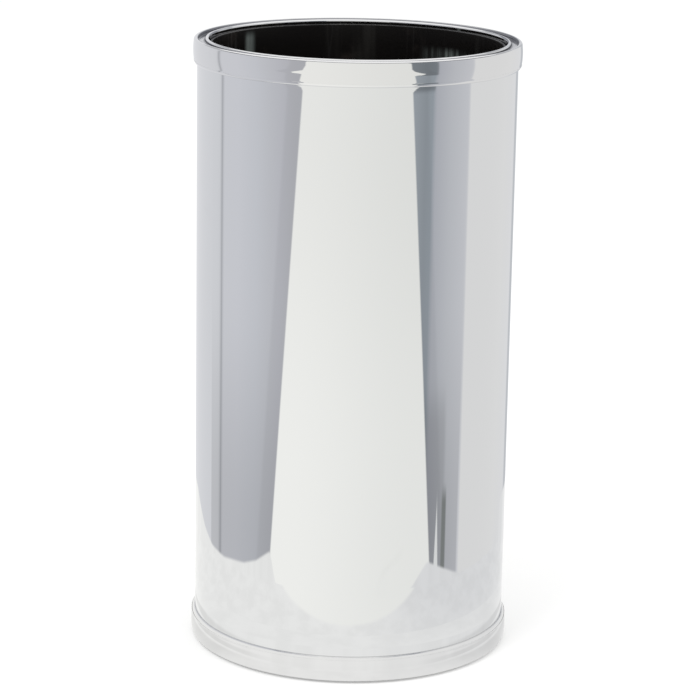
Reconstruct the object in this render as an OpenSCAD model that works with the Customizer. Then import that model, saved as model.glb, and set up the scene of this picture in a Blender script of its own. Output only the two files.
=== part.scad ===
// Cylindrical umbrella stand: a rolled sheet tube between two identical rings, with a steel pan
// and four rubber feet closing the bottom, and a black liner that lifts out of the top.
// The stand is upright on the XY plane, its axis is Z, and the seam of the tube faces +Y.

/* [Shell] */
// Outside diameter of both rings at the fullest part of their skirts
ring_d = 260; // [200:1:340]
// Height from the lower edge of the base ring to the top of the rim
shell_h = 490; // [350:1:650]
// Sheet thickness of the tube
tube_wall = 0.8; // [0.6:0.05:1.5]
// How far the rings stand proud of the tube
ring_step = 3.15; // [2.5:0.05:4.5]
// Gap left between the two rolled edges of the sheet, at the back
seam_gap = 0.3; // [0.1:0.05:0.8]
// Width of the strip that backs the seam
strip_w = 20; // [12:1:30]
// Thickness of the strip that backs the seam
strip_t = 0.8; // [0.6:0.05:1.5]

/* [Rings] */
// Height of a ring's outer skirt
ring_h = 20; // [16:0.5:32]
// How much the middle of the skirt bulges past its ends
belly = 0.45; // [0.1:0.05:0.8]
// Height of the rounded shoulder where the skirt meets the tube
shoulder_h = 3.7; // [2:0.1:5]
// Flat edge left at the end of the shoulder
edge_t = 0.3; // [0.2:0.05:0.6]
// Width of the round outer lip
lip_w = 3.7; // [3:0.1:5]
// Width of the groove between lip and bead
groove_w = 5.1; // [3:0.1:8]
// Depth of the groove
groove_depth = 2.8; // [2.6:0.1:5]
// Radius of the two corners at the bottom of the groove
groove_fillet = 0.6; // [0.2:0.1:0.7]
// Width of the round inner bead
bead_w = 3.2; // [2:0.1:4.5]
// Thickness of the ring under the groove
web_t = 2.2; // [1.5:0.1:4]
// Depth of the inner skirt and of the rib behind the tube, from the ring's outer end
inner_h = 10; // [8.5:0.1:14]
// Thickness of the inner skirt
inner_t = 2.4; // [1.5:0.1:3]
// Thickness of the rib that traps the edge of the tube
rib_t = 2.2; // [1.2:0.1:2.6]
// Clearance on each face of the tube in the ring's slot
slot_fit = 0.05; // [0.02:0.01:0.2]

/* [Base] */
// How far the feet stand below the base ring
foot_proud = 2; // [1:0.5:5]
// Sheet thickness of the pan
pan_t = 1.2; // [0.8:0.1:2]
// Height of the pan's flange above its underside
pan_flange_h = 14; // [8:0.5:24]
// Radius of the stiffening disc pressed up in the middle of the pan
pan_disc_r = 62; // [30:1:70]
// Height of the stiffening disc
pan_disc_h = 3; // [1:0.5:5]
// Diameter of a foot at its top
foot_d = 30; // [24:0.5:38]
// How much narrower a foot is at the floor
foot_taper = 3; // [0:0.5:6]
// Clear distance from a foot to the edge of the base ring's opening
foot_edge = 12; // [6:0.5:20]
// Rubber left above the washer
foot_seat = 6; // [3:0.5:8]
// Diameter of the recess in a foot
recess_d = 13; // [12.5:0.5:16]

/* [Fasteners] */
// Thread diameter of the foot screws
screw_d = 5; // [4:0.5:6]
// Length of a screw under its head
screw_l = 12; // [10:0.5:20]
// Diameter of a screw's head
head_d = 9.5; // [8:0.5:12]
// Height of a screw's head
head_h = 3.2; // [2:0.1:3.4]
// Width of the screwdriver cross
cross_w = 1.2; // [0.8:0.1:2]
// Diameter of a washer
washer_d = 12; // [10:0.5:12.5]
// Thickness of a washer
washer_t = 1; // [0.6:0.1:1.5]
// Width of a weld nut across its flats
nut_af = 8; // [7:0.5:10]
// Height of a weld nut
nut_h = 4; // [3:0.5:6]
// Radial clearance of a screw in its foot, its washer and the pan
screw_fit = 0.25; // [0.1:0.05:0.5]
// Radial clearance of a screw's thread in its nut
thread_fit = 0.02; // [0.01:0.01:0.08]

/* [Liner] */
// Clearance between the liner and the ring's opening
liner_gap = 0.6; // [0.3:0.1:2]
// How far the liner's rim lies below the top of the stand
liner_drop = 4; // [2:0.5:8]
// Wall thickness of the liner
liner_wall = 2; // [1.2:0.1:3]
// Radius of the two edges of the liner's rim
rim_round = 0.5; // [0.2:0.1:0.5]
// Thickness of the liner's floor
liner_floor = 2.5; // [1.5:0.1:4]
// How much smaller the liner's radius is at the bottom
liner_draft = 2.4; // [0.5:0.1:6]
// Outside radius of the corner at the bottom of the liner
liner_corner = 6; // [4:0.5:10]
// Height of the raised middle of the liner's floor above the nuts
nut_clear = 3; // [1:0.5:8]
// Radial room between a nut and the liner's raised middle
push_up_clear = 4; // [2:0.5:6]
// Width of the slope from the raised middle down to the gutter
slope_w = 5; // [3:0.5:6]
// Diameter of the two finger holes
grip_d = 22; // [16:1:30]
// Distance from the liner's rim down to the middle of a finger hole
grip_drop = 32; // [24:1:60]

/* [Hidden] */
$fn = 128;
through = 1; // how far a cutting shape runs past the face that it cuts

// Heights on the Z axis
base_z = foot_proud;
top_z = base_z + shell_h;
slot_depth = groove_depth + web_t;
tube_z0 = base_z + slot_depth;
tube_z1 = top_z - slot_depth;
pan_z = base_z + inner_h;
pan_top = pan_z + pan_t;
washer_top = pan_z - foot_seat;
washer_z = washer_top - washer_t;
rim_z = top_z - liner_drop;

// Radii from the Z axis
ring_r = ring_d / 2;
skirt_r = ring_r - belly;
tube_r = ring_r - ring_step;
tube_in = tube_r - tube_wall;
slot_out = tube_r + slot_fit;
slot_in = tube_in - slot_fit;
lip_in = skirt_r - lip_w;
bead_out = lip_in - groove_w;
mouth_r = bead_out - bead_w;
liner_top_r = mouth_r - liner_gap;
liner_bottom_r = liner_top_r - liner_draft;

// Feet and what holds them
foot_r = mouth_r - foot_edge - foot_d / 2;
foot_angles = [225, 315, 135, 45];
nut_corner = nut_af / 2 / cos(30);

// The raised middle of the liner's floor
push_up_h = nut_h + nut_clear;
push_up_r = foot_r + nut_corner + push_up_clear;

// Points of an arc, or of a quarter of an ellipse, about a centre, from angle a to angle b
function arc(centre, rx, ry, a, b, steps = 8) = [
    for (i = [0:steps])
        let (t = a + (b - a) * i / steps) centre + [rx * cos(t), ry * sin(t)]
];

// Points up the bulging face of a skirt, from height z0 to z1, with its fullest part in the middle
function belly_line(z0, z1, steps = 12) =
    let (half = (z1 - z0) / 2, radius = (half * half + belly * belly) / (2 * belly))
    [
        for (i = [1:steps - 1])
            let (h = half * (2 * i / steps - 1))
            [ring_r - radius + sqrt(radius * radius - h * h), (z0 + z1) / 2 + h]
    ];

// Outline of a ring that stands on its lip, with its skirt upwards
ring_outline = let (
        lip_r = lip_w / 2,
        bead_r = bead_w / 2,
        shoulder_w = skirt_r - slot_out - edge_t
    ) concat(
        arc([skirt_r - lip_r, lip_r], lip_r, lip_r, -90, 0),
        belly_line(lip_r, ring_h - shoulder_h),
        arc([skirt_r - shoulder_w, ring_h - shoulder_h], shoulder_w, shoulder_h, 0, 90),
        [[slot_out, ring_h], [slot_out, slot_depth], [slot_in, slot_depth], [slot_in, inner_h]],
        [[slot_in - rib_t, inner_h], [slot_in - rib_t, slot_depth]],
        [[mouth_r + inner_t, slot_depth], [mouth_r + inner_t, inner_h], [mouth_r, inner_h]],
        arc([mouth_r + bead_r, bead_r], bead_r, bead_r, 180, 360),
        arc([bead_out + groove_fillet, groove_depth - groove_fillet],
            groove_fillet, groove_fillet, 180, 90),
        arc([lip_in - groove_fillet, groove_depth - groove_fillet],
            groove_fillet, groove_fillet, 90, 0),
        arc([skirt_r - lip_r, lip_r], lip_r, lip_r, 180, 262)
    );

module ring() {
    rotate_extrude() polygon(ring_outline);
}

// A cylindrical shell from z0 to z1
module shell(outer, inner, z0, z1) {
    difference() {
        translate([0, 0, z0]) cylinder(h = z1 - z0, r = outer);
        translate([0, 0, z0 - through]) cylinder(h = z1 - z0 + 2 * through, r = inner);
    }
}

// Puts its children at each foot's place
module at_feet() {
    for (angle = foot_angles) at_foot(angle) children();
}

module at_foot(angle) {
    rotate([0, 0, angle]) translate([foot_r, 0, 0]) children();
}

module body_tube() {
    color("gainsboro") difference() {
        shell(tube_r, tube_in, tube_z0, tube_z1);
        translate([-seam_gap / 2, 0, tube_z0 - through])
            cube([seam_gap, ring_r, tube_z1 - tube_z0 + 2 * through]);
    }
}

// The strip inside the tube that the two edges of the sheet are welded to
module seam_strip() {
    strip_z0 = pan_z + pan_flange_h + through;
    strip_z1 = top_z - inner_h - through;
    color("silver") intersection() {
        shell(tube_in, tube_in - strip_t, strip_z0, strip_z1);
        translate([-strip_w / 2, 0, strip_z0]) cube([strip_w, ring_r, strip_z1 - strip_z0]);
    }
}

module top_ring() {
    color("gainsboro") translate([0, 0, top_z]) mirror([0, 0, 1]) ring();
}

module base_ring() {
    color("gainsboro") translate([0, 0, base_z]) ring();
}

// Pressed sheet pan: a flat floor, a stiffening disc and a flange welded inside the tube
module base_pan() {
    bend = 2 * pan_t;
    bend_in = bend - pan_t;
    flange_z = pan_z + pan_flange_h;
    slope = pan_disc_h + pan_t;
    outline = concat(
        [[0, pan_z + pan_disc_h], [pan_disc_r, pan_z + pan_disc_h], [pan_disc_r + slope, pan_z]],
        arc([tube_in - bend, pan_z + bend], bend, bend, -90, 0),
        [[tube_in, flange_z], [tube_in - pan_t, flange_z]],
        arc([tube_in - bend, pan_z + bend], bend_in, bend_in, 0, -90),
        [[pan_disc_r + slope, pan_top], [pan_disc_r, pan_top + pan_disc_h]],
        [[0, pan_top + pan_disc_h]]
    );
    color("dimgray") difference() {
        rotate_extrude() polygon(outline);
        at_feet() translate([0, 0, pan_z - through])
            cylinder(h = pan_t + 2 * through, r = screw_d / 2 + screw_fit);
    }
}

// A rubber foot with a recess for its washer and screw
module foot() {
    color("black") difference() {
        cylinder(h = pan_z, d1 = foot_d - foot_taper, d2 = foot_d);
        translate([0, 0, -through]) cylinder(h = washer_top + through, d = recess_d);
        cylinder(h = pan_z + through, r = screw_d / 2 + screw_fit);
    }
}

module foot_washers() {
    color("silver") at_feet() difference() {
        translate([0, 0, washer_z]) cylinder(h = washer_t, d = washer_d);
        translate([0, 0, washer_z - through])
            cylinder(h = washer_t + 2 * through, r = screw_d / 2 + screw_fit);
    }
}

module foot_screws() {
    cross_l = head_d * 0.6;
    cross_depth = head_h * 0.6;
    color("silver") at_feet() difference() {
        union() {
            translate([0, 0, washer_z]) cylinder(h = screw_l, d = screw_d);
            translate([0, 0, washer_z - head_h]) cylinder(h = head_h, d = head_d);
        }
        for (turn = [0, 90]) translate([0, 0, washer_z - head_h]) rotate([0, 0, turn])
            cube([cross_l, cross_w, 2 * cross_depth], center = true);
    }
}

module weld_nuts() {
    color("silver") at_feet() difference() {
        translate([0, 0, pan_top]) cylinder(h = nut_h, r = nut_corner, $fn = 6);
        translate([0, 0, pan_top - through])
            cylinder(h = nut_h + 2 * through, r = screw_d / 2 + thread_fit);
    }
}

// The bucket inside: straight drafted wall, eased rim, drip gutter and raised middle
module liner() {
    inner_corner = liner_corner - liner_wall;
    inner_bottom_r = liner_bottom_r - liner_wall;
    gutter_z = pan_top + liner_floor;
    outline = concat(
        [[0, pan_top + push_up_h], [push_up_r, pan_top + push_up_h], [push_up_r + slope_w, pan_top]],
        arc([liner_bottom_r - liner_corner, pan_top + liner_corner],
            liner_corner, liner_corner, -90, 0),
        arc([liner_top_r - rim_round, rim_z - rim_round], rim_round, rim_round, 0, 90),
        arc([liner_top_r - liner_wall + rim_round, rim_z - rim_round], rim_round, rim_round, 90, 180),
        arc([inner_bottom_r - inner_corner, gutter_z + inner_corner],
            inner_corner, inner_corner, 0, -90),
        [[push_up_r + slope_w, gutter_z], [push_up_r, gutter_z + push_up_h]],
        [[0, gutter_z + push_up_h]]
    );
    color("black") difference() {
        rotate_extrude() polygon(outline);
        translate([-ring_r, 0, rim_z - grip_drop]) rotate([0, 90, 0]) cylinder(h = ring_d, d = grip_d);
    }
}

body_tube();
seam_strip();
top_ring();
base_ring();
base_pan();
at_foot(foot_angles[0]) foot();  // foot_front_left
at_foot(foot_angles[1]) foot();  // foot_front_right
at_foot(foot_angles[2]) foot();  // foot_back_left
at_foot(foot_angles[3]) foot();  // foot_back_right
foot_washers();
foot_screws();
weld_nuts();
liner();
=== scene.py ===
# %% [markdown]
# # An umbrella stand in mirror chrome
# A tube of thin chromed sheet stands between two moulded rings, a black bucket lines it, and a
# pressed pan with four rubber feet closes the bottom. Almost everything here is round about one
# axis, so the lesson is about turned shapes, and about chrome, which has no look of its own:
# what it shows is the room around it.

# %% The frame
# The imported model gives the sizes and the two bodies. Everything below is placed from it.
import math

import bmesh
import bpy
from mathutils import Matrix, Vector


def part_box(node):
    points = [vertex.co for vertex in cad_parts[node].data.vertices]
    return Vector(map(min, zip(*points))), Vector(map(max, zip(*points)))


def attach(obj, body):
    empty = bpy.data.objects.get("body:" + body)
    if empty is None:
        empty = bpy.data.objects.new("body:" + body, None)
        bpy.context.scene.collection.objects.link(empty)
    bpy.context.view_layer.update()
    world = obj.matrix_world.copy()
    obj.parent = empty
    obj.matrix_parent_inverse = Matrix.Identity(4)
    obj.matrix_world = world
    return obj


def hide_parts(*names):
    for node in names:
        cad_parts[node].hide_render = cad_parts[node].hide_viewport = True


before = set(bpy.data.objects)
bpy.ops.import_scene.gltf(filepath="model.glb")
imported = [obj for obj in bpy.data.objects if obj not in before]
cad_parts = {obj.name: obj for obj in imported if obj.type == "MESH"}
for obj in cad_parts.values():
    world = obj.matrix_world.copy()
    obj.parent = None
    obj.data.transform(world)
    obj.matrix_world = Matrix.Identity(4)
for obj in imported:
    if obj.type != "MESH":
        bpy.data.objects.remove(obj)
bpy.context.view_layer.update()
MM = 0.001

# %% [markdown]
# ## Drawing an outline and turning it
# A lathe or a mould makes each of these pieces from one outline. The outline is a wire of a few
# corners, each a radius and a height in millimetres. A vertex bevel rounds a corner just as a
# fillet does on a drawing, and one spin about the axis makes the solid. It could also be done
# with the Screw modifier, but then the corners would have to be rounded after turning, edge by
# edge, where thin lips leave no room.

# %% Outlines
ROUND_STEPS = 8
TURN_STEPS = 256


def outline(corners, rounds=None, closed=True, steps=ROUND_STEPS):
    """A wire through (radius, height) corners in mm. rounds is {corner number: radius}."""
    bm = bmesh.new()
    wire = [bm.verts.new((r * MM, 0, z * MM)) for r, z in corners]
    ends = wire[1:] + wire[:1] if closed else wire[1:]
    for a, b in zip(wire, ends):
        bm.edges.new((a, b))
    for number, radius in (rounds or {}).items():
        bmesh.ops.bevel(
            bm, geom=[wire[number]], offset=radius * MM, offset_type="OFFSET",
            segments=steps, profile=0.5, affect="VERTICES", material=-1)
    bmesh.ops.remove_doubles(bm, verts=bm.verts[:], dist=1e-7)
    return bm


def edge_near(bm, r, z):
    """The wire's edge whose middle is nearest to a radius and height in mm."""
    spot = Vector((r * MM, 0, z * MM))
    return min(bm.edges, key=lambda e: ((e.verts[0].co + e.verts[1].co) / 2 - spot).length)


def divided(bm, r, z, cuts):
    """Cuts the edge nearest to a radius and height, and gives the new points."""
    made = bmesh.ops.subdivide_edges(bm, edges=[edge_near(bm, r, z)], cuts=cuts)
    return [g for g in made["geom_inner"] if isinstance(g, bmesh.types.BMVert)]


def turned(bm, steps=TURN_STEPS, angle=math.tau, start=0.0):
    """Spins the wire about Z from the start angle, closes it and turns its faces outwards."""
    bmesh.ops.rotate(bm, verts=bm.verts[:], cent=(0, 0, 0), matrix=Matrix.Rotation(start, 3, "Z"))
    full = abs(angle - math.tau) < 1e-9
    wire = bm.edges[:]
    made = bmesh.ops.spin(
        bm, geom=bm.verts[:] + wire, cent=(0, 0, 0), axis=(0, 0, 1),
        angle=angle, steps=steps, use_merge=full)
    if not full:
        last = [g for g in made["geom_last"] if isinstance(g, bmesh.types.BMEdge)]
        for loop in (wire, last):
            bmesh.ops.contextual_create(bm, geom=loop)
    bmesh.ops.remove_doubles(bm, verts=bm.verts[:], dist=1e-7)
    bmesh.ops.recalc_face_normals(bm, faces=bm.faces[:])
    return bm


# %% [markdown]
# ## Finishing a piece
# A finished piece is one object at the origin with its place in its mesh. It is smooth except
# at real corners, rides on one of the two bodies, and hides the CAD node that it stands for.

# %% Pieces
SHARP = math.radians(34)


def piece(name, bm, finishes, body, replaces):
    """Makes the bmesh an object with its materials, and gives it its place in the frame."""
    mesh = bpy.data.meshes.new(name)
    open_edges = sum(1 for e in bm.edges if not e.is_manifold)
    bm.to_mesh(mesh)
    bm.free()
    for polygon in mesh.polygons:
        polygon.use_smooth = True
    mesh.set_sharp_from_angle(angle=SHARP)
    for finish in finishes:
        mesh.materials.append(finish)
    obj = bpy.data.objects.new(name, mesh)
    bpy.context.scene.collection.objects.link(obj)
    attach(obj, body)
    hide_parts(replaces)
    print(name, len(mesh.polygons), "faces,", open_edges, "open edges")
    return obj


# %% [markdown]
# ## Marks that several finishes share
# Real surfaces differ from perfect ones in a few ways that come back on every material: hands
# leave haze, cleaning leaves hairlines, dust settles on what faces up, and a mould leaves grain.
# Each is a node group that is built once, with its sizes as inputs, so that each material can
# place it with its own values. A group gives only masks and heights.

# %% Node helpers
def node(tree, kind, inputs=None, **settings):
    """Adds a node, sets its properties, and links or sets its inputs."""
    made = tree.nodes.new(kind)
    for key, value in settings.items():
        setattr(made, key, value)
    for key, value in (inputs or {}).items():
        if isinstance(value, bpy.types.NodeSocket):
            tree.links.new(value, made.inputs[key])
        else:
            made.inputs[key].default_value = value
    return made


def maths(tree, operation, a, b=0.0, clamp=False):
    made = node(tree, "ShaderNodeMath", {0: a, 1: b}, operation=operation, use_clamp=clamp)
    return made.outputs[0]


def between(tree, value, low, high, to_low=0.0, to_high=1.0):
    """Maps a value from one range to another, smoothly and without passing the ends."""
    made = node(
        tree, "ShaderNodeMapRange",
        {"Value": value, "From Min": low, "From Max": high, "To Min": to_low, "To Max": to_high},
        interpolation_type="SMOOTHSTEP")
    return made.outputs[0]


def noise(tree, vector, scale, detail=2.0, rough=0.5, distort=0.0):
    made = node(
        tree, "ShaderNodeTexNoise",
        {"Vector": vector, "Scale": scale, "Detail": detail, "Roughness": rough,
         "Distortion": distort})
    return made.outputs[0]


def stretched(tree, vector, scale, turn=(0, 0, 0)):
    made = node(tree, "ShaderNodeMapping", {"Vector": vector, "Scale": scale, "Rotation": turn})
    return made.outputs[0]


def group(name, inputs, outputs):
    """An empty node group with named sockets, and its input and output nodes."""
    tree = bpy.data.node_groups.new(name, "ShaderNodeTree")
    for label, kind, value in inputs:
        socket = tree.interface.new_socket(name=label, in_out="INPUT", socket_type=kind)
        if value is not None:
            socket.default_value = value
    for label in outputs:
        tree.interface.new_socket(name=label, in_out="OUTPUT", socket_type="NodeSocketFloat")
    return tree, tree.nodes.new("NodeGroupInput"), tree.nodes.new("NodeGroupOutput")


def placed(tree, shared, **inputs):
    """Places a group in a material and gives its outputs."""
    made = tree.nodes.new("ShaderNodeGroup")
    made.node_tree = shared
    for key, value in inputs.items():
        socket = made.inputs[key.replace("_", " ")]
        if isinstance(value, bpy.types.NodeSocket):
            tree.links.new(value, socket)
        else:
            socket.default_value = value
    return made.outputs


FLOAT, VECTOR = "NodeSocketFloat", "NodeSocketVector"

# %% Haze from hands and cloths
# Soft patches with a ragged edge, broken up by a finer pattern of ridges inside them.
tree, given, out = group(
    "hand_haze",
    [("Vector", VECTOR, None), ("Patches", FLOAT, 9.0), ("Cover", FLOAT, 0.4)],
    ["Haze"])
patch = noise(tree, given.outputs["Vector"], given.outputs["Patches"], 3.0, 0.55, 0.6)
start = maths(tree, "SUBTRACT", 0.86, maths(tree, "MULTIPLY", given.outputs["Cover"], 0.5))
patch = between(tree, patch, start, maths(tree, "ADD", start, 0.18))
ridges = noise(
    tree, given.outputs["Vector"], maths(tree, "MULTIPLY", given.outputs["Patches"], 22.0), 2.0)
ridges = between(tree, ridges, 0.3, 0.7, 0.45, 1.0)
tree.links.new(maths(tree, "MULTIPLY", patch, ridges), out.inputs["Haze"])
hand_haze = tree

# %% Hairlines
# The thin level lines of a stretched noise look like scratches: long, fine and uneven. A second,
# slower noise breaks them into short runs.
tree, given, out = group(
    "hairlines",
    [("Vector", VECTOR, None), ("Fineness", FLOAT, 60.0), ("Width", FLOAT, 0.012)],
    ["Lines"])
level = noise(tree, given.outputs["Vector"], given.outputs["Fineness"], 1.0, 0.5, 0.3)
level = maths(tree, "ABSOLUTE", maths(tree, "SUBTRACT", level, 0.5))
line = between(tree, level, 0.0, given.outputs["Width"], 1.0, 0.0)
runs = noise(
    tree, given.outputs["Vector"], maths(tree, "MULTIPLY", given.outputs["Fineness"], 0.23), 1.0)
runs = between(tree, runs, 0.52, 0.66)
tree.links.new(maths(tree, "MULTIPLY", line, runs), out.inputs["Lines"])
hairlines = tree

# %% Settled dust
# Dust lies on what faces up and collects in patches.
tree, given, out = group(
    "settled_dust",
    [("Vector", VECTOR, None), ("Amount", FLOAT, 0.3)],
    ["Dust"])
normal = tree.nodes.new("ShaderNodeNewGeometry").outputs["Normal"]
facing = node(tree, "ShaderNodeSeparateXYZ", {0: normal})
up = between(tree, facing.outputs["Z"], 0.35, 0.95)
specks = between(tree, noise(tree, given.outputs["Vector"], 900.0, 3.0, 0.7), 0.45, 0.75)
drifts = between(tree, noise(tree, given.outputs["Vector"], 24.0, 4.0, 0.6), 0.3, 0.75, 0.3, 1.0)
dust = maths(tree, "MULTIPLY", maths(tree, "MULTIPLY", up, specks), drifts)
tree.links.new(maths(tree, "MULTIPLY", dust, given.outputs["Amount"]), out.inputs["Dust"])
settled_dust = tree

# %% Moulded grain
# A mould's skin: fine cells for the eroded steel, and a slow swell for shrinkage.
tree, given, out = group(
    "moulded_grain",
    [("Vector", VECTOR, None), ("Cells", FLOAT, 1800.0), ("Swell", FLOAT, 40.0)],
    ["Height", "Fine"])
cells = node(
    tree, "ShaderNodeTexVoronoi",
    {"Vector": given.outputs["Vector"], "Scale": given.outputs["Cells"]}, feature="SMOOTH_F1")
fine = between(tree, cells.outputs["Distance"], 0.0, 0.8)
swell = noise(tree, given.outputs["Vector"], given.outputs["Swell"], 2.0)
tree.links.new(maths(tree, "ADD", maths(tree, "MULTIPLY", fine, 0.35), swell), out.inputs["Height"])
tree.links.new(fine, out.inputs["Fine"])
moulded_grain = tree
print("groups", [g.name for g in (hand_haze, hairlines, settled_dust, moulded_grain)])


# %% Starting a material
def material(name, **constants):
    """A material with its Principled shader, its tree, and the object's own coordinates."""
    made = bpy.data.materials.new(name)
    made.use_nodes = True
    shader = made.node_tree.nodes["Principled BSDF"]
    for key, value in constants.items():
        shader.inputs[key.replace("_", " ")].default_value = value
    place = node(made.node_tree, "ShaderNodeTexCoord").outputs["Object"]
    return made, made.node_tree, shader, place


def mixed(tree, amount, a, b):
    """A colour from a to b."""
    made = node(tree, "ShaderNodeMix", {0: amount}, data_type="RGBA")
    for number, colour in ((6, a), (7, b)):
        if isinstance(colour, bpy.types.NodeSocket):
            tree.links.new(colour, made.inputs[number])
        else:
            made.inputs[number].default_value = (*colour, 1)
    return made.outputs[2]


def bumped(tree, shader, heights):
    """Chains a bump for each (height, distance in mm) into the shader's normal."""
    normal = None
    for height, distance in heights:
        bump = node(tree, "ShaderNodeBump", {"Height": height, "Distance": distance * MM})
        if normal is not None:
            tree.links.new(normal, bump.inputs["Normal"])
        normal = bump.outputs["Normal"]
    tree.links.new(normal, shader.inputs["Normal"])


# %% [markdown]
# ## Chrome
# Bright chrome is nickel under a film of chromium: a little blue, about four fifths as bright as
# what it mirrors, and so smooth that its only roughness is what hands and cloths leave. The
# rolled sheet is never quite true, so its reflections swim very slightly; the moulded rings are
# truer but have a softer skin. So one recipe makes both, with its own values for each. A ring's
# groove gets painted shade: its colour is darkened most at its walls, and it is made rougher.

# %% Chrome finish
def from_axis(tree, vector):
    """How far a place is from the stand's axis."""
    flat = node(tree, "ShaderNodeVectorMath", {0: vector, 1: (1, 1, 0)}, operation="MULTIPLY")
    return node(tree, "ShaderNodeVectorMath", {0: flat.outputs[0]}, operation="LENGTH").outputs[1]


def groove_shade_mask(tree, place, inner, outer):
    """Painted shade in a groove between two radii in mm: little in its middle, most at its walls."""
    out, soft, reach = from_axis(tree, place), 0.3, (outer - inner) / 2
    within = maths(
        tree, "MULTIPLY", between(tree, out, (inner - soft) * MM, (inner + soft) * MM),
        between(tree, out, (outer + soft) * MM, (outer - soft) * MM))
    off = maths(tree, "ABSOLUTE", maths(tree, "SUBTRACT", out, (inner + outer) / 2 * MM))
    depth = between(tree, off, reach * 0.35 * MM, reach * 0.8 * MM, 0.35, 0.80)
    return maths(tree, "MULTIPLY", within, depth)


def chrome(name, colour, rough, haze_cover, wave, wave_mm, groove=None):
    """Bright chrome. groove is two radii in mm; between them goes painted shade, darkest at the walls,
    with more roughness.
    """
    made, tree, shader, place = material(name, Metallic=1.0)
    haze = placed(tree, hand_haze, Vector=place, Patches=11.0, Cover=haze_cover)["Haze"]
    wiped = stretched(tree, place, (1.0, 1.0, 9.0), (0.12, 0.05, 0.0))
    lines = placed(tree, hairlines, Vector=wiped, Fineness=26.0, Width=0.008)["Lines"]
    dust = placed(tree, settled_dust, Vector=place, Amount=0.35)["Dust"]
    dull = tuple(c * 0.90 for c in colour)
    base = mixed(tree, haze, colour, dull)
    base = mixed(tree, dust, base, (0.62, 0.61, 0.59))
    roughness = maths(tree, "ADD", maths(tree, "MULTIPLY", haze, 0.09), rough)
    if groove:
        # Painted shade: the groove's colour is darkened most at its walls, and its roughness is raised.
        painted_groove_shade = groove_shade_mask(tree, place, *groove)
        base = mixed(tree, painted_groove_shade, base, (0.085, 0.087, 0.11))
        roughness = maths(tree, "ADD", roughness, maths(tree, "MULTIPLY", painted_groove_shade, 0.22))
    tree.links.new(base, shader.inputs["Base Color"])
    roughness = maths(tree, "ADD", roughness, maths(tree, "MULTIPLY", lines, 0.06))
    roughness = maths(tree, "ADD", roughness, maths(tree, "MULTIPLY", dust, 0.4))
    tree.links.new(roughness, shader.inputs["Roughness"])
    swim = noise(tree, stretched(tree, place, (1.0, 1.0, 0.35)), wave, 1.0)
    bumped(tree, shader, [(swim, wave_mm), (lines, 0.0004)])
    return made


tube_chrome = chrome("tube_chrome", (0.745, 0.75, 0.758), 0.022, 0.42, 14.0, 0.035)
print("chrome", tube_chrome.name)

# %% [markdown]
# ## The tube's inside
# The plating bath reaches the inside of the tube only thinly, and nobody polishes it, so it is
# a dull grey nickel with brush marks from the strip mill running around it.

# %% Dull inside finish
dull_inside, tree, shader, place = material("dull_inside", Metallic=1.0)
cloud = noise(tree, place, 8.0, 4.0, 0.6)
tree.links.new(mixed(tree, cloud, (0.36, 0.36, 0.35), (0.52, 0.51, 0.49)), shader.inputs["Base Color"])
mill = noise(tree, stretched(tree, place, (3.0, 3.0, 900.0)), 1.0, 3.0, 0.6)
tree.links.new(between(tree, mill, 0.3, 0.7, 0.32, 0.48), shader.inputs["Roughness"])
bumped(tree, shader, [(mill, 0.01)])

# %% [markdown]
# ## The tube
# The sheet is rolled until its two edges meet at the back. They leave a hairline seam, so the
# turn stops just short of a full circle and both ends are closed. Its section is a plain
# rectangle, because both of its ends are hidden in the rings' slots.

# %% body_tube
tube_low, tube_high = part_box("body_tube")
tube_r = tube_high.x / MM
tube_wall = 0.8
seam_gap = 0.3
tube_bottom, tube_top = tube_low.z / MM, tube_high.z / MM
gap_angle = seam_gap / tube_r
bm = outline([
    (tube_r - tube_wall, tube_bottom), (tube_r, tube_bottom),
    (tube_r, tube_top), (tube_r - tube_wall, tube_top)])
divided(bm, tube_r, (tube_bottom + tube_top) / 2, 11)
turned(bm, 320, math.tau - gap_angle, math.pi / 2 + gap_angle / 2)
for face in bm.faces:
    middle = face.calc_center_median()
    face.material_index = 1 if face.normal.xy.dot(middle.xy) < -1e-6 else 0
piece("tube", bm, [tube_chrome, dull_inside], "shell", "body_tube")
print("tube", round(2 * tube_r, 2), "mm across")

# %% [markdown]
# ## The rings
# One moulding serves as rim and as foot ring. From outside in it has a skirt that bulges by
# less than half a millimetre, a round lip, a groove and a round bead. The bulge is made by
# cutting the skirt's line into short ones and pushing them out along an arc: on a mirror that
# half millimetre is what turns the straight edges of a reflection into slants.

# %% Ring outline
ring_low, ring_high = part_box("top_ring")
ring_h = (ring_high.z - ring_low.z) / MM
ring_r = 130.0
belly = 0.45
skirt_r = ring_r - belly
lip_w, groove_w, bead_w = 3.7, 5.1, 3.2
groove_depth, web_t = 2.8, 2.2
inner_h, inner_t, rib_t = 10.0, 2.4, 2.2
slot_fit, edge_t, shoulder_h = 0.05, 0.3, 3.7
slot_out = tube_r + slot_fit
slot_in = tube_r - tube_wall - slot_fit
slot_depth = groove_depth + web_t
lip_in = skirt_r - lip_w
bead_out = lip_in - groove_w
mouth_r = bead_out - bead_w
shoulder_w = skirt_r - slot_out - edge_t


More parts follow.
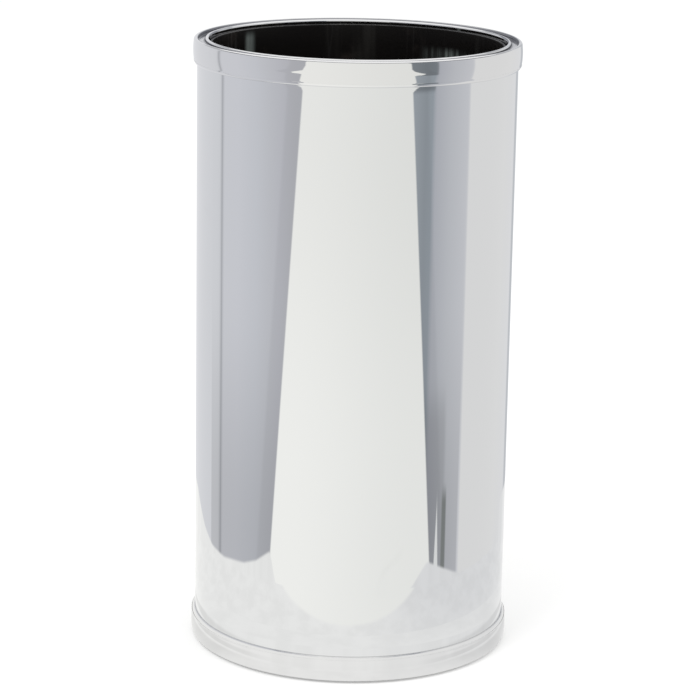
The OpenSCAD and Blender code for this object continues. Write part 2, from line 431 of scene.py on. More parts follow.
def ring_section():
    """The ring's section, standing on its lip."""
    corners = [
        (skirt_r, 0), (skirt_r, ring_h), (slot_out, ring_h), (slot_out, slot_depth),
        (slot_in, slot_depth), (slot_in, inner_h), (slot_in - rib_t, inner_h),
        (slot_in - rib_t, slot_depth), (mouth_r + inner_t, slot_depth),
        (mouth_r + inner_t, inner_h), (mouth_r, inner_h), (mouth_r, 0), (bead_out, 0),
        (bead_out, groove_depth), (lip_in, groove_depth), (lip_in, 0)]
    rounds = {
        0: lip_w / 2, 15: lip_w / 2, 11: bead_w / 2, 12: bead_w / 2,
        1: shoulder_w, 13: 0.6, 14: 0.6, 2: 0.1, 10: 0.4}
    wire = outline(corners, rounds)
    shoulder_top = ring_h - shoulder_w
    for vert in wire.verts:
        if vert.co.z / MM > shoulder_top and vert.co.x / MM > slot_out + 0.15:
            drop = (vert.co.z / MM - ring_h) * (shoulder_h / shoulder_w)
            vert.co.z = (ring_h + max(drop, -shoulder_h)) * MM
    low, high = lip_w / 2, ring_h - shoulder_h
    for vert in divided(wire, skirt_r, (low + high) / 2, 21):
        along = 2 * (vert.co.z / MM - low) / (high - low) - 1
        vert.co.x += belly * (1 - along * along) * MM
    return wire


def ring(name, replaces, base, flip):
    bm = turned(ring_section(), 320)
    if flip:
        bmesh.ops.scale(bm, vec=(1, 1, -1), verts=bm.verts[:])
        bmesh.ops.recalc_face_normals(bm, faces=bm.faces[:])
    bmesh.ops.translate(bm, vec=(0, 0, base), verts=bm.verts[:])
    return piece(name, bm, [ring_chrome], "shell", replaces)


ring_chrome = chrome(
    "ring_chrome", (0.755, 0.755, 0.76), 0.03, 0.36, 22.0, 0.012,
    groove=(bead_out - 0.1, lip_in + 0.85))
ring("rim_ring", "top_ring", ring_high.z, True)
ring("foot_ring", "base_ring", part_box("base_ring")[0].z, False)
print("mouth", round(2 * mouth_r, 1), "mm across")

# %% [markdown]
# ## Black lacquered steel
# The pan is dipped in black lacquer. Dipped lacquer runs and levels, so it has a soft orange
# peel, it is scuffed grey where it slid on floors, and dust sticks to it.

# %% Lacquer finish
lacquer, tree, shader, place = material("black_lacquer", Coat_Weight=0.3, Coat_Roughness=0.15)
cloud = noise(tree, place, 16.0, 4.0, 0.6)
scuffs = placed(tree, hairlines, Vector=place, Fineness=70.0, Width=0.02)["Lines"]
dust = placed(tree, settled_dust, Vector=place, Amount=0.5)["Dust"]
base = mixed(tree, cloud, (0.014, 0.014, 0.015), (0.024, 0.023, 0.022))
base = mixed(tree, maths(tree, "MULTIPLY", scuffs, 0.6), base, (0.11, 0.11, 0.11))
base = mixed(tree, dust, base, (0.25, 0.24, 0.22))
tree.links.new(base, shader.inputs["Base Color"])
roughness = between(tree, cloud, 0.3, 0.7, 0.26, 0.42)
roughness = maths(tree, "ADD", roughness, maths(tree, "MULTIPLY", dust, 0.4))
tree.links.new(roughness, shader.inputs["Roughness"])
peel = noise(tree, place, 420.0, 2.0, 0.5)
bumped(tree, shader, [(peel, 0.03), (scuffs, -0.01)])

# %% [markdown]
# ## The pan
# One press stroke makes the pan: a flat floor, a flange that is welded inside the tube, and a
# disc pushed up in the middle that keeps thin sheet from drumming. It is drawn as the line of
# its underside and the line of its top, joined at the flange.

# %% base_pan
pan_low, pan_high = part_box("base_pan")
pan_z, flange_z = pan_low.z / MM, pan_high.z / MM
pan_t, disc_r, disc_h = 1.2, 62.0, 3.0
pan_r = tube_r - tube_wall
slope = disc_h + pan_t
bm = outline(
    [(0, pan_z + disc_h), (disc_r, pan_z + disc_h), (disc_r + slope, pan_z), (pan_r, pan_z),
     (pan_r, flange_z), (pan_r - pan_t, flange_z), (pan_r - pan_t, pan_z + pan_t),
     (disc_r + slope, pan_z + pan_t), (disc_r, pan_z + disc_h + pan_t), (0, pan_z + disc_h + pan_t)],
    {1: 1.6, 2: 1.6, 3: 2 * pan_t, 4: 0.3, 5: 0.3, 6: pan_t, 7: 1.6, 8: 1.6}, closed=False, steps=6)
piece("pan", turned(bm, 192), [lacquer], "shell", "base_pan")

# %% [markdown]
# ## The strip behind the seam
# The two edges of the sheet are spot-welded to a galvanised strip. It is a slice of a wider
# turn: the same outline as a tube's, spun through the few degrees that it covers. The zinc shows
# its crystals as patches that each mirror in their own way, which is a Voronoi pattern.

# %% Galvanised finish
galvanised, tree, shader, place = material("galvanised", Metallic=1.0)
crystal = node(tree, "ShaderNodeTexVoronoi", {"Vector": place, "Scale": 160.0})
tone = node(tree, "ShaderNodeSeparateColor", {0: crystal.outputs["Color"]}).outputs[0]
tree.links.new(mixed(tree, tone, (0.42, 0.43, 0.44), (0.62, 0.63, 0.64)), shader.inputs["Base Color"])
tree.links.new(between(tree, tone, 0.0, 1.0, 0.34, 0.52), shader.inputs["Roughness"])
bumped(tree, shader, [(tone, 0.01), (noise(tree, place, 500.0), 0.01)])

# %% seam_strip
strip_low, strip_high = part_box("seam_strip")
strip_t = 0.8
strip_w = (strip_high.x - strip_low.x) / MM
strip_angle = strip_w / pan_r
bm = outline(
    [(pan_r - strip_t, strip_low.z / MM), (pan_r, strip_low.z / MM),
     (pan_r, strip_high.z / MM), (pan_r - strip_t, strip_high.z / MM)],
    {0: 0.2, 3: 0.2}, steps=3)
turned(bm, 8, strip_angle, math.pi / 2 - strip_angle / 2)
piece("seam_strip_metal", bm, [galvanised], "shell", "seam_strip")

# %% [markdown]
# ## Rubber
# Moulded rubber is nearly black, dull, and a little chalky where it blooms. The feet stand on
# it, so their undersides pick up grit.

# %% Rubber finish
rubber, tree, shader, place = material("rubber", Specular_IOR_Level=0.35)
grain = placed(tree, moulded_grain, Vector=place, Cells=1500.0, Swell=90.0)
bloom = between(tree, noise(tree, place, 60.0, 4.0, 0.65), 0.42, 0.72)
grit = between(tree, noise(tree, place, 700.0, 3.0, 0.7), 0.58, 0.7)
base = mixed(tree, bloom, (0.016, 0.016, 0.017), (0.035, 0.034, 0.033))
tree.links.new(
    mixed(tree, maths(tree, "MULTIPLY", grit, 0.5), base, (0.12, 0.11, 0.10)),
    shader.inputs["Base Color"])
tree.links.new(between(tree, bloom, 0.0, 1.0, 0.62, 0.8), shader.inputs["Roughness"])
bumped(tree, shader, [(grain["Height"], 0.05), (grit, 0.03)])

# %% [markdown]
# ## Zinc-plated fasteners
# Cheap screws, washers and nuts are barrel-plated: bright, but softened by tumbling, with a
# faint yellow and blue cast that drifts over the surface.

# %% Zinc finish
zinc, tree, shader, place = material("zinc_plate", Metallic=1.0)
drift = noise(tree, place, 220.0, 3.0, 0.6)
tree.links.new(mixed(tree, drift, (0.60, 0.62, 0.66), (0.72, 0.70, 0.62)), shader.inputs["Base Color"])
tumbled = placed(tree, hairlines, Vector=place, Fineness=420.0, Width=0.03)["Lines"]
roughness = between(tree, drift, 0.3, 0.7, 0.24, 0.4)
roughness = maths(tree, "ADD", roughness, maths(tree, "MULTIPLY", tumbled, 0.15))
tree.links.new(roughness, shader.inputs["Roughness"])
bumped(tree, shader, [(tumbled, -0.01), (noise(tree, place, 1400.0), 0.004)])

# %% [markdown]
# ## The feet
# A foot is a cone of rubber with a deep recess for its screw. The ring that stands on the floor
# has grooves that let water out and help it to grip. Each foot is turned about the axis and
# then moved to its own place, which the frame gives.

# %% Feet
foot_places = {}
for label in ("foot_front_left", "foot_front_right", "foot_back_left", "foot_back_right"):
    low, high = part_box(label)
    foot_places[label] = (low + high) / 2
foot_low, foot_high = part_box("foot_front_left")
foot_top_r = (foot_high.x - foot_low.x) / 2 / MM
foot_base_r = foot_top_r - 1.5
foot_h = foot_high.z / MM
recess_r, foot_seat, bolt_r = 6.5, 6.0, 2.75
groove_at = (8.6, 10.8)
groove_half, groove_cut = 0.45, 0.7


def foot_shape():
    """One foot, standing at the origin."""
    sole = []
    for middle in reversed(groove_at):
        sole += [(middle + groove_half, 0), (middle + groove_half, groove_cut),
                 (middle - groove_half, groove_cut), (middle - groove_half, 0)]
    corners = [
        (bolt_r, foot_h), (bolt_r, foot_h - foot_seat), (recess_r, foot_h - foot_seat),
        (recess_r, 0)] + sole[::-1] + [(foot_base_r, 0), (foot_top_r, foot_h)]
    count = len(corners)
    return turned(outline(corners, {3: 0.5, count - 2: 1.2, count - 1: 0.6}, steps=5), 72)


for label, place in foot_places.items():
    bm = foot_shape()
    bmesh.ops.translate(bm, vec=(place.x, place.y, 0), verts=bm.verts[:])
    piece(label + "_rubber", bm, [rubber], "shell", label)
foot_r = foot_places["foot_front_left"].xy.length / MM
print("feet at", round(foot_r, 2), "mm from the axis")

# %% [markdown]
# ## Washers, screws and nuts
# The four of each kind are one object, as they are one node of the frame. A screw's dome is
# turned, and its cross is cut the way a punch makes it: the flat middle of the head is divided
# by straight cuts, and the faces inside the cross are pushed in and narrowed.

# %% Four of each
def at_all_feet(make):
    """One bmesh with a copy of the shape at each foot."""
    whole = bmesh.new()
    for place in foot_places.values():
        single = make()
        turn = Matrix.Rotation(math.atan2(place.y, place.x), 3, "Z")
        bmesh.ops.rotate(single, verts=single.verts[:], cent=(0, 0, 0), matrix=turn)
        bmesh.ops.translate(single, vec=(place.x, place.y, 0), verts=single.verts[:])
        part = bpy.data.meshes.new("part")
        single.to_mesh(part)
        single.free()
        whole.from_mesh(part)
        bpy.data.meshes.remove(part)
    return whole


# %% foot_washers
washer_low, washer_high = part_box("foot_washers")
washer_z, washer_top = washer_low.z / MM, washer_high.z / MM
washer_r = 6.0


def washer_shape():
    corners = [(bolt_r, washer_z), (washer_r, washer_z), (washer_r, washer_top), (bolt_r, washer_top)]
    return turned(outline(corners, {0: 0.15, 1: 0.25, 2: 0.25, 3: 0.1}, steps=3), 64)


piece("washers", at_all_feet(washer_shape), [zinc], "shell", "foot_washers")

# %% foot_screws
screw_low, screw_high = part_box("foot_screws")
head_bottom, screw_end = screw_low.z / MM, screw_high.z / MM
head_r, screw_r = 4.75, 2.5
flat_r = 3.4
cross_l, cross_w, cross_depth = 5.2, 1.1, 1.7


def screw_shape():
    """A pan head that looks down, its cross and its shank."""
    bm = outline(
        [(flat_r, head_bottom), (head_r - 0.1, head_bottom + 0.9), (head_r, washer_z), (screw_r, washer_z),
         (screw_r, screw_end - 0.5), (screw_r - 0.5, screw_end), (0, screw_end)],
        {1: 0.7, 2: 0.15}, closed=False, steps=5)
    turned(bm, 48)
    rim = [e for e in bm.edges if e.is_boundary]
    flat = bmesh.ops.contextual_create(bm, geom=rim)["faces"]
    half_l, half_w = cross_l / 2 * MM, cross_w / 2 * MM
    for axis in (Vector((1, 0, 0)), Vector((0, 1, 0))):
        for distance in (-half_l, -half_w, half_w, half_l):
            inside = [f for f in bm.faces if f.calc_center_median().z < (head_bottom + 0.01) * MM]
            edges = {e for f in inside for e in f.edges}
            bmesh.ops.bisect_plane(
                bm, geom=inside + list(edges), plane_co=axis * distance, plane_no=axis, dist=1e-7)
    cross = []
    for face in bm.faces:
        middle = face.calc_center_median()
        if middle.z > (head_bottom + 0.01) * MM:
            continue
        far, near = max(abs(middle.x), abs(middle.y)), min(abs(middle.x), abs(middle.y))
        if near < half_w and far < half_l:
            cross.append(face)
    pushed = bmesh.ops.extrude_face_region(bm, geom=cross)
    bmesh.ops.delete(bm, geom=cross, context="FACES")
    floor = [g for g in pushed["geom"] if isinstance(g, bmesh.types.BMVert)]
    bmesh.ops.translate(bm, vec=(0, 0, cross_depth * MM), verts=floor)
    bmesh.ops.scale(bm, vec=(0.7, 0.7, 1), verts=floor)
    bmesh.ops.recalc_face_normals(bm, faces=bm.faces[:])
    return bm


piece("screws", at_all_feet(screw_shape), [zinc], "shell", "foot_screws")

# %% weld_nuts
# A nut is a ring of six sides and a ring of many, bridged at both ends, with its top corners
# chamfered as they are when it is forged.
nut_low, nut_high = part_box("weld_nuts")
nut_bottom, nut_top = nut_low.z / MM, nut_high.z / MM
nut_flats = 8.0
nut_corner = nut_flats / 2 / math.cos(math.radians(30))
thread_r = 2.52


def nut_shape():
    bm = bmesh.new()
    rings = []
    for radius, sides in ((nut_corner, 6), (thread_r, 24)):
        made = bmesh.ops.create_circle(bm, segments=sides, radius=radius * MM, cap_ends=False)
        low = made["verts"]
        turn = Matrix.Rotation(math.pi / 6 if sides == 6 else 0, 3, "Z")
        bmesh.ops.rotate(bm, verts=low, cent=(0, 0, 0), matrix=turn)
        bmesh.ops.translate(bm, vec=(0, 0, nut_bottom * MM), verts=low)
        edges = list({e for v in low for e in v.link_edges})
        up = bmesh.ops.extrude_edge_only(bm, edges=edges)["geom"]
        high = [g for g in up if isinstance(g, bmesh.types.BMVert)]
        bmesh.ops.translate(bm, vec=(0, 0, (nut_top - nut_bottom) * MM), verts=high)
        rings.append((edges, [g for g in up if isinstance(g, bmesh.types.BMEdge)]))
    for level in (0, 1):
        ends = [e for group_of in (rings[0][level], rings[1][level]) for e in group_of if e.is_boundary]
        bmesh.ops.bridge_loops(bm, edges=ends)
    top = [e for e in bm.edges if all(v.co.z > (nut_top - 0.01) * MM for v in e.verts)
           and all(v.co.xy.length > (thread_r + 0.5) * MM for v in e.verts)]
    bmesh.ops.bevel(bm, geom=top, offset=0.35 * MM, offset_type="OFFSET", segments=1,
                    profile=0.5, affect="EDGES", material=-1)
    bmesh.ops.recalc_face_normals(bm, faces=bm.faces[:])
    return bm


piece("nuts", at_all_feet(nut_shape), [zinc], "shell", "weld_nuts")

# %% [markdown]
# ## Black liner plastic
# The liner is moulded in black polypropylene: a soft shine over a faint grain. Umbrella tips
# draw pale vertical lines down its wall, and drips leave streaks with a dull edge. At two places
# towards the back, where handles lean, the wall is rubbed grey.

# %% Liner finish
liner_black, tree, shader, place = material("liner_black", Specular_IOR_Level=0.18)
grain = placed(tree, moulded_grain, Vector=place, Cells=1300.0, Swell=18.0)
drawn = stretched(tree, place, (1.0, 1.0, 0.06))
tips = placed(tree, hairlines, Vector=drawn, Fineness=70.0, Width=0.02)["Lines"]
drips = noise(tree, stretched(tree, place, (1.0, 1.0, 0.09)), 34.0, 3.0, 0.6)
streaks = between(tree, drips, 0.56, 0.72)
haze = placed(tree, hand_haze, Vector=place, Patches=16.0, Cover=0.35)["Haze"]
dust = placed(tree, settled_dust, Vector=place, Amount=0.45)["Dust"]
rubbed = noise(tree, stretched(tree, place, (1.0, 1.0, 0.8)), 30.0, 4.0, 0.7)
rubbed = between(tree, rubbed, 0.55, 0.80)
base = mixed(tree, haze, (0.0035, 0.0028, 0.0026), (0.007, 0.006, 0.0055))
base = mixed(tree, maths(tree, "MULTIPLY", rubbed, 0.35), base, (0.045, 0.036, 0.030))
base = mixed(tree, maths(tree, "MULTIPLY", tips, 0.25), base, (0.07, 0.07, 0.07))
base = mixed(tree, maths(tree, "MULTIPLY", streaks, 0.12), base, (0.09, 0.088, 0.08))
base = mixed(tree, dust, base, (0.16, 0.155, 0.145))
apart = node(tree, "ShaderNodeSeparateXYZ", {0: place}).outputs
round_wall = maths(tree, "DEGREES", maths(tree, "ARCTAN2", apart["X"], apart["Y"]))
bars = noise(tree, stretched(tree, place, (1.0, 1.0, 0.03)), 260.0, 2.0, 0.6)
# Each rub: its middle and half width in degrees from the back, its top in metres, its bars.
for middle, spread, top, barred in ((-50.5, 4.0, 0.488, 0.25), (39.5, 14.0, 0.475, 0.85)):
    off = maths(tree, "ABSOLUTE", maths(tree, "SUBTRACT", round_wall, middle))
    worn = maths(tree, "MULTIPLY", between(tree, off, spread, spread * 0.2),
                 between(tree, apart["Z"], 0.30, 0.44))
    worn = maths(tree, "MULTIPLY", worn, between(tree, apart["Z"], top, top - 0.008))
    lines = between(tree, bars, 0.42, 0.62, 1.0 - barred, 1.0)
    base = mixed(tree, maths(tree, "MULTIPLY", worn, lines), base, (0.105, 0.12, 0.115))
tree.links.new(base, shader.inputs["Base Color"])
roughness = maths(tree, "ADD", maths(tree, "MULTIPLY", haze, 0.14), 0.34)
roughness = maths(tree, "ADD", roughness, maths(tree, "MULTIPLY", streaks, 0.12))
tree.links.new(roughness, shader.inputs["Roughness"])
bumped(tree, shader, [(grain["Height"], 0.02), (tips, -0.012)])

# %% [markdown]
# ## The liner
# It is a deep bucket with draft, so that it leaves its mould and lifts out easily. Its wall
# ends in a lip with eased corners, its floor is raised in the middle to clear the nuts, and the
# gutter around that holds the drips. Two finger holes below the lip are what it is lifted by. A
# hole could be cut with a Boolean, but a cut leaves long thin faces that shade badly on a curved
# wall. So a square patch of the turned grid is taken out and bridged to a circle that lies on
# the wall.

# %% Liner outline
liner_low, liner_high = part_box("liner")
liner_z, rim_z = liner_low.z / MM, liner_high.z / MM
liner_wall, liner_floor, liner_draft = 2.0, 2.5, 2.4
liner_corner = 6.0
lip_round = 0.5
liner_gap = 0.6
liner_top_r = mouth_r - liner_gap
liner_bottom_r = liner_top_r - liner_draft
nut_clear, push_up_clear, slope_w = 3.0, 4.0, 5.0
push_up_h = nut_top - nut_bottom + nut_clear
push_up_r = foot_r + nut_corner + push_up_clear
grip_r, grip_z = 11.0, rim_z - 32.0
gate_r, gate_depth = 5.0, 0.4
patch_steps = 10
liner_steps = 256
patch_half = patch_steps / 2 * math.tau * liner_top_r / liner_steps
gutter_z = liner_z + liner_floor
wall_foot = liner_z + liner_corner


def wall_r(height, inside=False):
    """Radius of the liner's wall at a height."""
    share = (height - wall_foot) / (rim_z - liner_wall / 2 - wall_foot)
    return liner_bottom_r + liner_draft * share - (liner_wall if inside else 0)


def liner_section():
    low, high = grip_z - patch_half, grip_z + patch_half
    corners = [
        (0, liner_z + push_up_h), (push_up_r, liner_z + push_up_h), (push_up_r + slope_w, liner_z),
        (liner_bottom_r, liner_z), (wall_r(low), low), (wall_r(high), high), (liner_top_r, rim_z),
        (liner_top_r - liner_wall, rim_z), (wall_r(high, True), high), (wall_r(low, True), low),
        (liner_bottom_r - liner_wall, gutter_z), (push_up_r + slope_w, gutter_z),
        (push_up_r, gutter_z + push_up_h), (gate_r, gutter_z + push_up_h),
        (gate_r - 0.6, gutter_z + push_up_h - gate_depth),
        (0, gutter_z + push_up_h - gate_depth)]
    rounds = {
        1: 2.0, 2: 1.0, 3: liner_corner, 6: lip_round, 7: lip_round,
        10: liner_corner - liner_wall, 11: 2.0, 12: 2.0}
    wire = outline(corners, rounds, closed=False)
    for inside in (False, True):
        divided(wire, wall_r(grip_z, inside), grip_z, patch_steps - 1)
    return wire


# %% Finger holes
def open_patch(bm, side, inside):
    """Takes the square patch out of one wall and bridges its edge to a circle on the wall."""
    near, cells = wall_r(grip_z, inside), []
    reach = patch_steps / 2 * math.tau / liner_steps
    for face in bm.faces:
        middle = face.calc_center_median() / MM
        turn = math.atan2(middle.y, middle.x * side)
        if (abs(turn) < reach and abs(middle.z - grip_z) < patch_half
                and abs(middle.xy.length - near) < liner_wall / 2):
            cells.append(face)
    gone = set(cells)
    border = [e for e in {e for f in cells for e in f.edges}
              if sum(f in gone for f in e.link_faces) == 1]
    bmesh.ops.delete(bm, geom=cells, context="FACES")
    made = bmesh.ops.create_circle(
        bm, segments=4 * patch_steps, radius=grip_r * MM, cap_ends=False,
        matrix=Matrix.Translation((0, 0, grip_z * MM)) @ Matrix.Rotation(math.pi / 2, 4, "Y"))
    for vert in made["verts"]:
        radius = wall_r(vert.co.z / MM, inside) * MM
        vert.co.x = side * math.sqrt(radius * radius - vert.co.y * vert.co.y)
    circle = list({e for v in made["verts"] for e in v.link_edges})
    bmesh.ops.bridge_loops(bm, edges=border + circle)
    return circle


bm = turned(liner_section(), liner_steps)
for side in (1, -1):
    circles = [open_patch(bm, side, inside) for inside in (False, True)]
    bmesh.ops.bridge_loops(bm, edges=circles[0] + circles[1])
    bmesh.ops.bevel(bm, geom=circles[0] + circles[1], offset=0.6 * MM, offset_type="OFFSET",
                    segments=3, profile=0.5, affect="EDGES", material=-1)
bmesh.ops.recalc_face_normals(bm, faces=bm.faces[:])
piece("liner_bucket", bm, [liner_black], "liner", "liner")

# %% [markdown]
# ## The studio
# A bare mirror in an empty white room looks like fog. What makes chrome read as chrome is a few
# large cards of different greys around it, so a drum of soft cards stands round the stand, a
# third of a metre out. Only reflections see it: it neither lights the floor nor shows itself. It
# could be many separate planes, but one drum coloured by direction keeps every edge in one place.
# The floor is a translucent sheet that is also lit a little from below, as a product table is,
# so the shadow stays faint.

# %% Floor and room
def staged(name, bm, finish):
    mesh = bpy.data.meshes.new(name)
    bm.to_mesh(mesh)
    bm.free()
    mesh.materials.append(finish)
    obj = bpy.data.objects.new(name, mesh)
    bpy.context.scene.collection.objects.link(obj)
    return obj


def only_mirrored(obj):
    """Only reflections see the object."""
    obj.visible_camera = False
    obj.visible_diffuse = False
    obj.visible_transmission = False
    obj.visible_volume_scatter = False
    obj.visible_shadow = False


floor_white, tree, shader, place = material("floor_white", Roughness=0.85, Specular_IOR_Level=0.0)
shader.inputs["Base Color"].default_value = (0.64, 0.64, 0.636, 1)
shader.inputs["Emission Color"].default_value = (1.0, 1.0, 0.995, 1)
shader.inputs["Emission Strength"].default_value = 0.30
bm = bmesh.new()
bmesh.ops.create_grid(bm, x_segments=4, y_segments=4, size=14.0)
staged("floor", bm, floor_white)

world = bpy.data.worlds.new("studio")
bpy.context.scene.world = world
world.use_nodes = True
world.node_tree.nodes["Background"].inputs["Color"].default_value = (1.0, 1.0, 1.0, 1)
world.node_tree.nodes["Background"].inputs["Strength"].default_value = 1.10

# %% Soft light
def soft_light(name, place, target, size, watts):
    light = bpy.data.lights.new(name, "AREA")
    light.shape = "DISK"
    light.size = size
    light.energy = watts
    obj = bpy.data.objects.new(name, light)
    bpy.context.scene.collection.objects.link(obj)
    obj.location = place
    obj.rotation_euler = (Vector(target) - Vector(place)).to_track_quat("-Z", "Y").to_euler()
    obj.visible_glossy = False
    return obj


soft_light("key", (-1.6, -2.2, 2.8), (0, 0, 0.2), 1.8, 45.0)
soft_light("fill", (2.4, -1.2, 2.2), (0, 0, 0.2), 2.2, 22.0)

# %% The drum of cards
# Each stop is a direction in degrees, to the right of straight ahead of the stand, and the
# grey of the card that stands there.
DRUM_R, DRUM_TOP = 0.338, 0.70
cards = [
    (-180, (0.30, 0.31, 0.34)), (-170, (0.36, 0.37, 0.40)), (-167, (0.76, 0.77, 0.80)),
    (-150, (0.82, 0.825, 0.85)), (-99, (0.79, 0.80, 0.83)),
    (-94.6, (0.77, 0.78, 0.81)), (-93.5, (0.49, 0.50, 0.53)), (-92.4, (0.49, 0.50, 0.53)),
    (-91.0, (0.75, 0.76, 0.80)), (-76, (0.745, 0.755, 0.80)), (-61, (0.695, 0.71, 0.755)),
    (-52, (0.65, 0.66, 0.70)), (-44, (0.61, 0.615, 0.66)), (-36, (0.57, 0.575, 0.61)),
    (33, (0.42, 0.46, 0.50)), (41, (0.35, 0.385, 0.42)), (45.5, (0.37, 0.41, 0.45)),
    (47.0, (0.515, 0.53, 0.575)), (58, (0.61, 0.625, 0.66)), (71.5, (0.69, 0.70, 0.735)),
    (73.0, (0.88, 0.88, 0.875)), (112, (0.88, 0.88, 0.875)), (134, (0.82, 0.825, 0.84)),
    (139, (0.54, 0.56, 0.59)), (144, (0.56, 0.58, 0.61)), (147, (0.68, 0.69, 0.72)),
    (160, (0.72, 0.73, 0.76)), (162, (0.28, 0.29, 0.32)), (180, (0.30, 0.31, 0.34))]


def ramped(tree, value, low, high, stops):
    """What the stops, as (place, colour or number), give for a value between low and high."""
    share = maths(tree, "DIVIDE", maths(tree, "SUBTRACT", value, low), high - low)
    ramp = node(tree, "ShaderNodeValToRGB", {"Fac": share})
    made = ramp.color_ramp.elements
    while len(made) > 1:
        made.remove(made[0])
    for number, (spot, colour) in enumerate(stops):
        stop = made.new((spot - low) / (high - low)) if number else made[0]
        stop.position = (spot - low) / (high - low)
        stop.color = (*colour, 1) if isinstance(colour, tuple) else (colour, colour, colour, 1)
    return ramp.outputs["Color"]


def glowing(name):
    """A material that only glows, its tree, and the object's own coordinates."""
    made = bpy.data.materials.new(name)
    made.use_nodes = True
    made.cycles.emission_sampling = "NONE"
    made.node_tree.nodes.clear()
    place = node(made.node_tree, "ShaderNodeTexCoord").outputs["Object"]
    return made, made.node_tree, node(made.node_tree, "ShaderNodeSeparateXYZ", {0: place}).outputs


def lit_by(tree, colour):
    glow = node(tree, "ShaderNodeEmission", {"Color": colour, "Strength": 1.0})
    node(tree, "ShaderNodeOutputMaterial", {"Surface": glow.outputs[0]})


def scaled(tree, colour, amount):
    return node(tree, "ShaderNodeVectorMath", {0: colour, "Scale": amount}, operation="SCALE").outputs[0]


def floor_tone(tree, apart):
    """The pale floor as a mirror shows it: greyer to the right, and a little cloudy."""
    across = between(tree, apart["X"], -0.05, 0.29)
    cloud = node(tree, "ShaderNodeCombineXYZ", {0: apart["X"], 1: apart["Y"]}).outputs[0]
    cloud = between(tree, noise(tree, cloud, 26.0, 3.0, 0.6), 0.35, 0.65, 0.97, 1.02)
    plain = mixed(tree, across, (1.03, 1.03, 1.012), (0.87, 0.875, 0.88))
    return scaled(tree, plain, cloud)


def table_tone(tree, across, height):
    """The bright front card, warm, greyer to the right and towards its top."""
    tone = mixed(tree, across, (1.13, 1.13, 1.09), (1.015, 1.02, 0.985))
    return scaled(tree, tone, between(tree, height, 0.10, 0.42, 1.0, 0.93))


drum_light, tree, apart = glowing("drum_light")
heading = maths(tree, "ARCTAN2", apart["X"], maths(tree, "MULTIPLY", apart["Y"], -1.0))
degrees = maths(tree, "DEGREES", heading)
card = ramped(tree, degrees, -180, 180, cards)

# %% [markdown]
# The front of the drum is one bright card that widens downwards, like a table seen along its
# length. Its edges are angles that grow as the height falls, and that bulge once near the height
# of the rim. The other cards end a little above the floor, and above them all is a dim strip.

# %% The front card's edges
# Each is the angle from straight ahead, in radians, at a height in metres.
left_edge = [(0.0, 0.872), (0.437, 0.543), (0.440, 0.64), (0.446, 0.65), (0.452, 0.60),
             (0.460, 0.53), (0.49, 0.50), (DRUM_TOP, 0.50)]
right_edge = [(0.0, 0.890), (0.436, 0.564), (0.440, 0.655), (0.446, 0.68), (0.452, 0.62),
              (0.462, 0.56), (0.475, 0.53), (DRUM_TOP, 0.50)]
away = maths(tree, "ABSOLUTE", heading)
half = mixed(
    tree, between(tree, heading, -0.1, 0.1),
    *(ramped(tree, apart["Z"], 0.0, DRUM_TOP, edge) for edge in (left_edge, right_edge)))
inside = maths(tree, "SUBTRACT", half, away)

# %% The side cards
# They dim towards the floor, but for the two light ones at the far right and left. On the right,
# a patch near the floor and one near the rim are dimmer still.
def product(tree, *masks):
    """Where all the masks hold."""
    made = masks[0]
    for mask in masks[1:]:
        made = maths(tree, "MULTIPLY", made, mask)
    return made


light = between(tree, apart["Z"], 0.03, 0.26, 0.80, 0.99)
kept = maths(tree, "ADD", between(tree, heading, 1.19, 1.25), between(tree, heading, -1.78, -1.84))
light = maths(tree, "MAXIMUM", light, kept)
low_right = product(
    tree, between(tree, apart["Z"], 0.20, 0.13), between(tree, heading, 1.08, 1.00),
    between(tree, heading, 0.0, 0.1))
top_right = product(
    tree, between(tree, apart["Z"], 0.431, 0.439), between(tree, heading, 0.45, 0.55),
    between(tree, heading, 0.83, 0.80))
for patch, dimmest in ((low_right, 0.82), (top_right, 0.62)):
    light = maths(tree, "MULTIPLY", light, between(tree, patch, 0.0, 1.0, 1.0, dimmest))
border = between(tree, inside, -0.19, -0.14, 1.0, 0.93)
tone = scaled(tree, card, maths(tree, "MULTIPLY", light, border))

# %% The dark leg and the light gap
# Low on the right stand a dark leg and, beside it, a light gap that narrows upwards.
LEG_HEADING, GAP_HEADING, GAP_SLANT = 1.045, 0.955, 0.42
leg = maths(tree, "ABSOLUTE", maths(tree, "SUBTRACT", heading, LEG_HEADING))
leg = product(tree, between(tree, leg, 0.040, 0.015), between(tree, apart["Z"], 0.092, 0.07))
tone = mixed(tree, leg, tone, (0.24, 0.255, 0.25))
gap = maths(tree, "ABSOLUTE", maths(tree, "SUBTRACT", heading, GAP_HEADING))
gap = maths(tree, "ADD", gap, maths(tree, "MULTIPLY", apart["Z"], GAP_SLANT))
tone = mixed(tree, between(tree, gap, 0.038, 0.025), tone, (0.86, 0.87, 0.865))

# %% The front card
front = between(tree, inside, -0.010, 0.010)
sweep = between(tree, heading, -0.75, 0.75)
tone = mixed(tree, front, tone, table_tone(tree, sweep, apart["Z"]))

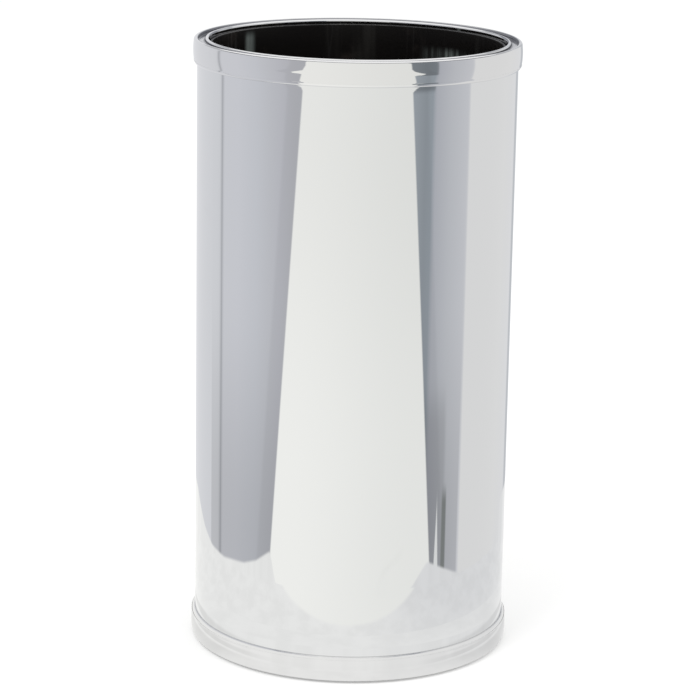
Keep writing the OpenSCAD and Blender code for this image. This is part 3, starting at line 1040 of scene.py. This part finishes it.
# %% The foot and the head of the drum
# The cards end at a height that differs for every direction: degrees, and tenths of a metre.
card_ends = [
    (-180, 0.50), (-134, 0.42), (-115, 0.17), (-103, 0.075), (-88, 0.055), (-80, 0.08),
    (-69, 0.108), (-59, 0.178), (-52, 0.265), (-48.5, 0.305), (-47.4, 0.18), (-44.5, 0.01),
    (-42, 0.0), (36, 0.0), (39, 0.04), (44.7, 0.16), (48.7, 0.235), (55, 0.18), (61, 0.13),
    (68, 0.07), (75, 0.02), (84, 0.0), (108, 0.0), (122, 0.12), (128, 0.42), (180, 0.50)]
card_end = ramped(tree, degrees, -180, 180, card_ends)
above = maths(tree, "SUBTRACT", apart["Z"], maths(tree, "MULTIPLY", card_end, 0.1))
tone = mixed(tree, between(tree, above, -0.004, 0.0), floor_tone(tree, apart), tone)
behind = between(tree, away, 1.65, 1.75)
head = mixed(tree, behind, (0.06, 0.065, 0.09), (0.55, 0.56, 0.58))
tone = mixed(tree, between(tree, apart["Z"], 0.60, 0.62), tone, head)
lit_by(tree, tone)

# %% The drum
bm = bmesh.new()
bmesh.ops.create_circle(bm, segments=192, radius=DRUM_R, cap_ends=False)
rise = bmesh.ops.extrude_edge_only(bm, edges=bm.edges[:])["geom"]
bmesh.ops.translate(
    bm, vec=(0, 0, DRUM_TOP), verts=[g for g in rise if isinstance(g, bmesh.types.BMVert)])
only_mirrored(staged("reflection_drum", bm, drum_light))

# %% [markdown]
# The front card runs on over the floor to a straight edge, so the bright panel ends in a round
# foot on the tube. A second floor just above the real one carries it, again for mirrors only. A
# narrow collar round the foot ring, with a side that reaches the floor, hides the dark cards
# from the ring, which otherwise shows them as heavy lines.

# %% Floor and collar for mirrors
TABLE_END = -0.251
COLLAR_IN, COLLAR_OUT, COLLAR_Z = 0.1315, 0.160, 0.027
FLOOR_IN, FLOOR_Z = 0.128, 0.0006


def shaded_tone(tree, apart):
    """The floor close to the stand, dimmer at its sides."""
    side = between(tree, maths(tree, "ABSOLUTE", apart["X"]), 0.075, 0.14, 0.99, 0.87)
    return scaled(tree, floor_tone(tree, apart), side)


def band(name, first, last, finish):
    """A band between two (radius, height) circles, for mirrors only."""
    bm = bmesh.new()
    loops = [bmesh.ops.create_circle(
        bm, segments=192, radius=r, cap_ends=False,
        matrix=Matrix.Translation((0, 0, z)))["verts"] for r, z in (first, last)]
    bmesh.ops.bridge_loops(bm, edges=list({e for loop in loops for v in loop for e in v.link_edges}))
    only_mirrored(staged(name, bm, finish))


# %% Mirrored floor
floor_card, tree, apart = glowing("floor_card")
sweep = between(tree, apart["X"], -0.23, 0.23)
table = between(tree, apart["Y"], TABLE_END, TABLE_END - 0.012)
tone = mixed(tree, table, floor_tone(tree, apart), table_tone(tree, sweep, 0.0))
flat = node(tree, "ShaderNodeCombineXYZ", {0: apart["X"], 1: apart["Y"]}).outputs[0]
near = between(tree, from_axis(tree, flat), 0.156, 0.148)
lit_by(tree, mixed(tree, near, tone, shaded_tone(tree, apart)))
band("mirrored_floor", (FLOOR_IN, FLOOR_Z), (DRUM_R, FLOOR_Z), floor_card)

# %% Collar
collar_light, tree, apart = glowing("collar_light")
lit_by(tree, floor_tone(tree, apart))
side_card, tree, apart = glowing("side_card")
high = between(tree, apart["Z"], 0.006, 0.010)
lit_by(tree, mixed(tree, high, shaded_tone(tree, apart), floor_tone(tree, apart)))
band("bright_collar", (COLLAR_IN, COLLAR_Z), (COLLAR_OUT, COLLAR_Z), collar_light)
band("collar_side", (COLLAR_OUT, COLLAR_Z), (COLLAR_OUT, 0.001), side_card)

# %% [markdown]
# ## The camera
# A long lens a little above the rim, as for a catalogue, tipped down to the middle of the
# stand and turned by a degree.

# %% Camera
lens = bpy.data.cameras.new("camera")
lens.sensor_width = 36.0
lens.lens = 139.77
camera = bpy.data.objects.new("camera", lens)
bpy.context.scene.collection.objects.link(camera)
look_down, look_left, lean = math.radians(14.168), math.radians(0.277), math.radians(1.018)
stand_back = Vector((0.00816, -2.13767, 0.77816))
camera.matrix_world = (
    Matrix.Translation(stand_back)
    @ Matrix.Rotation(look_left, 4, "Z")
    @ Matrix.Rotation(math.pi / 2 - look_down, 4, "X")
    @ Matrix.Rotation(lean, 4, "Z"))
bpy.context.scene.camera = camera
bpy.context.scene.view_settings.view_transform = "Standard"
